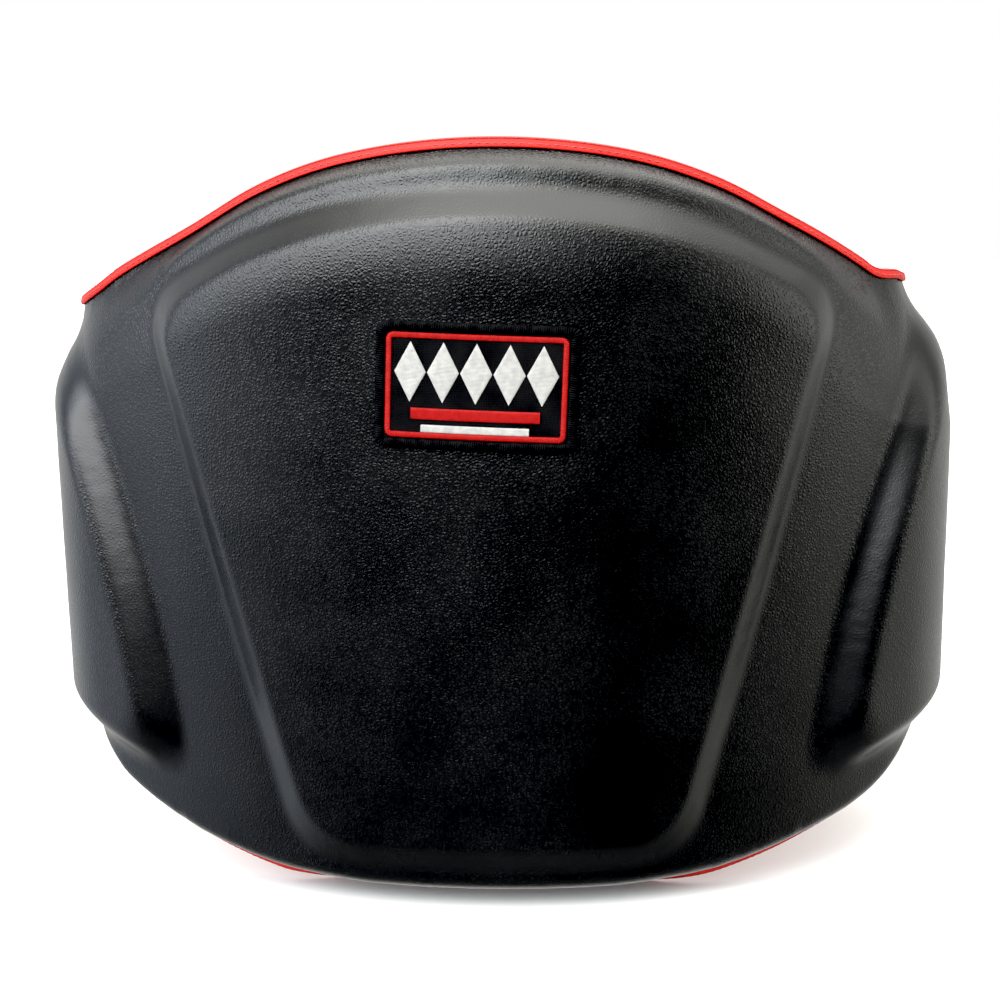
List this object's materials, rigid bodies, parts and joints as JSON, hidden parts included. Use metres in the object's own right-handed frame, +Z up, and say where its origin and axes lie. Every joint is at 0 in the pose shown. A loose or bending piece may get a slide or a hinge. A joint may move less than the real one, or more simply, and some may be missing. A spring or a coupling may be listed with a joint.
{
  "type": "trainer belly pad",
  "caption": "Curved padded waist shield for a boxing trainer, with raised centre panel and side pads, red binding, small sewn patch and an elastic hook-and-loop belt.",
  "frame": {"origin": "centre of the footprint at floor level: the middle of the bounding box in X and Y, at its lowest Z", "axes": "+X towards the wearer's left wing, -Y out of the padded front, +Z up as worn"},
  "size_m": [0.4966, 0.2962, 0.3901],
  "materials": {
    "black_leather": "grained synthetic leather, satin",
    "red_lining": "fine grained synthetic leather, satin",
    "red_binding": "smooth synthetic leather, semi-gloss",
    "front_foam": "moulded closed-cell foam",
    "insert_foam": "dense closed-cell foam sheet",
    "comfort_foam": "soft open-cell foam",
    "patch_twill": "twill weave",
    "border_thread": "overlock stitched thread",
    "red_thread": "satin stitch thread",
    "white_thread": "satin stitch thread",
    "webbing": "woven nylon",
    "loop_pile": "brushed loop pile",
    "elastic": "ribbed woven elastic",
    "hook_tape": "hook tape"
  },
  "bodies": {
    "shell": {"outer_cover": "black_leather", "impact_foam": "front_foam", "right_insert": "insert_foam", "center_insert": "insert_foam", "left_insert": "insert_foam", "comfort_foam": "comfort_foam", "lining": "red_lining", "top_binding": "red_binding", "bottom_binding": "red_binding", "left_end_binding": "red_binding", "right_end_binding": "red_binding", "patch_backing": "patch_twill", "patch_border": "border_thread", "patch_frame": "red_thread", "patch_diamond_1": "white_thread", "patch_diamond_2": "white_thread", "patch_diamond_3": "white_thread", "patch_diamond_4": "white_thread", "patch_diamond_5": "white_thread", "patch_bar_red": "red_thread", "patch_bar_white": "white_thread"},
    "loop_side": {"loop_belt": "webbing", "loop_anchor_patch": "black_leather", "loop_panel": "loop_pile"},
    "hook_side": {"elastic_anchor_patch": "black_leather", "elastic_panel": "elastic"},
    "hook_end": {"hook_base": "webbing", "hook_join_patch": "black_leather", "hook_panel": "hook_tape"},
    "tab": {"pull_tab": "red_binding"}
  },
  "joints": [
    {"name": "loop_belt_swing", "type": "hinge", "parent": "shell", "child": "loop_side", "pos_m": [-0.21494, 0.03349, 0.14], "axis": [0, 0, -1], "range_deg": [0, 35]},
    {"name": "hook_belt_swing", "type": "hinge", "parent": "shell", "child": "hook_side", "pos_m": [0.2235, 0.03625, 0.14], "axis": [0, 0, -1], "range_deg": [0, 110]},
    {"name": "elastic_stretch", "type": "slide", "parent": "hook_side", "child": "hook_end", "axis": [-1, 0, 0], "range_m": [0, 0.04], "stiffness_N_per_m": 500, "deforming": ["elastic_panel"]},
    {"name": "tab_lift", "type": "hinge", "parent": "hook_end", "child": "tab", "pos_m": [-0.0753, 0.1466, 0.07], "axis": [0, 0, -1], "range_deg": [0, 60]}
  ]
}
